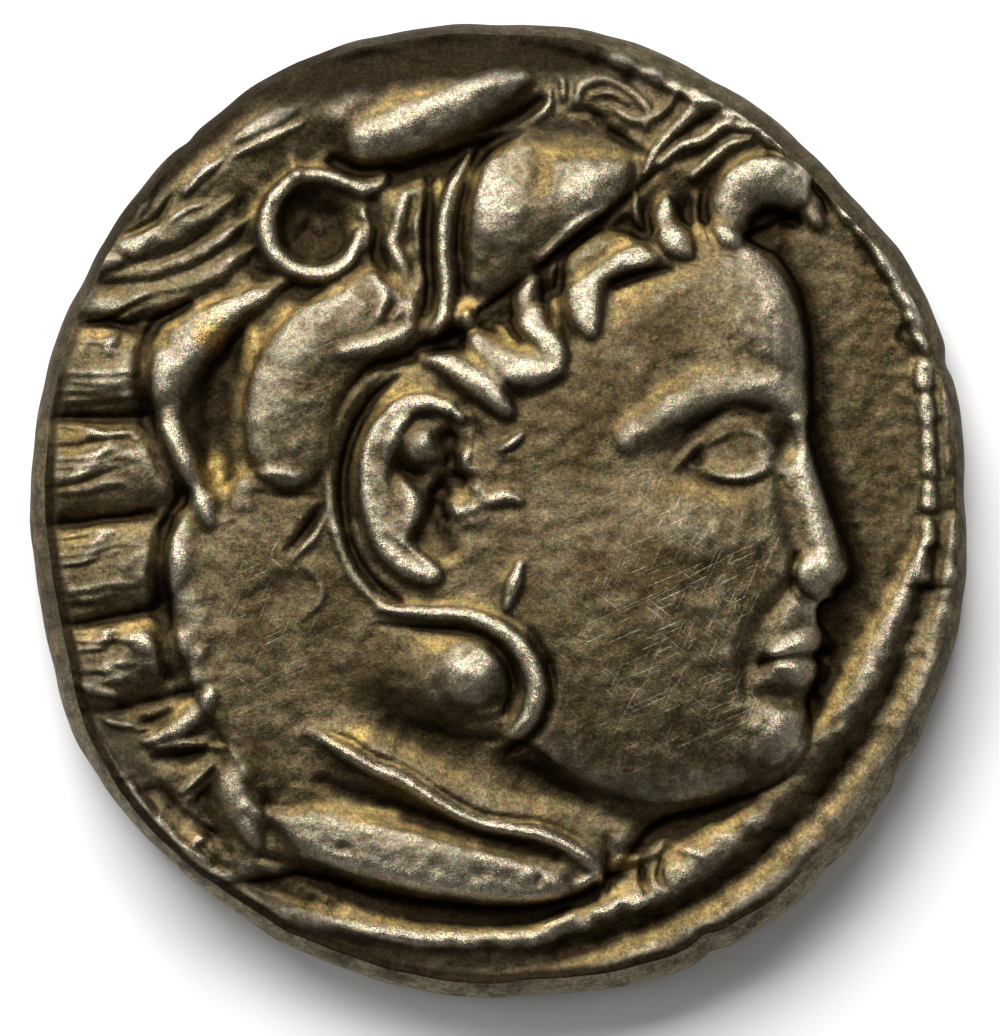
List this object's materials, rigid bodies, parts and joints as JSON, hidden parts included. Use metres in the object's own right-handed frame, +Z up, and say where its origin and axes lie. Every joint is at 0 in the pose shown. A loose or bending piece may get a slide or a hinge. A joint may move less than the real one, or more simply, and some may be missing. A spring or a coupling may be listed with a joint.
{
  "type": "drachm coin",
  "caption": "Ancient silver drachm lying flat: thick hammered flan with a head in a lion's scalp in high relief on top.",
  "frame": {"origin": "on the surface the coin lies on, under the centre of its bounding box", "axes": "+Z up out of the obverse, +Y towards the top of the head, +X the way the head looks"},
  "size_m": [0.0164, 0.017, 0.0028],
  "materials": {
    "toned_silver": "old struck silver, worn pale on the relief, bronze and dark brown tone in the hollows"
  },
  "bodies": {
    "root": {"coin": "toned_silver"}
  },
  "joints": []
}
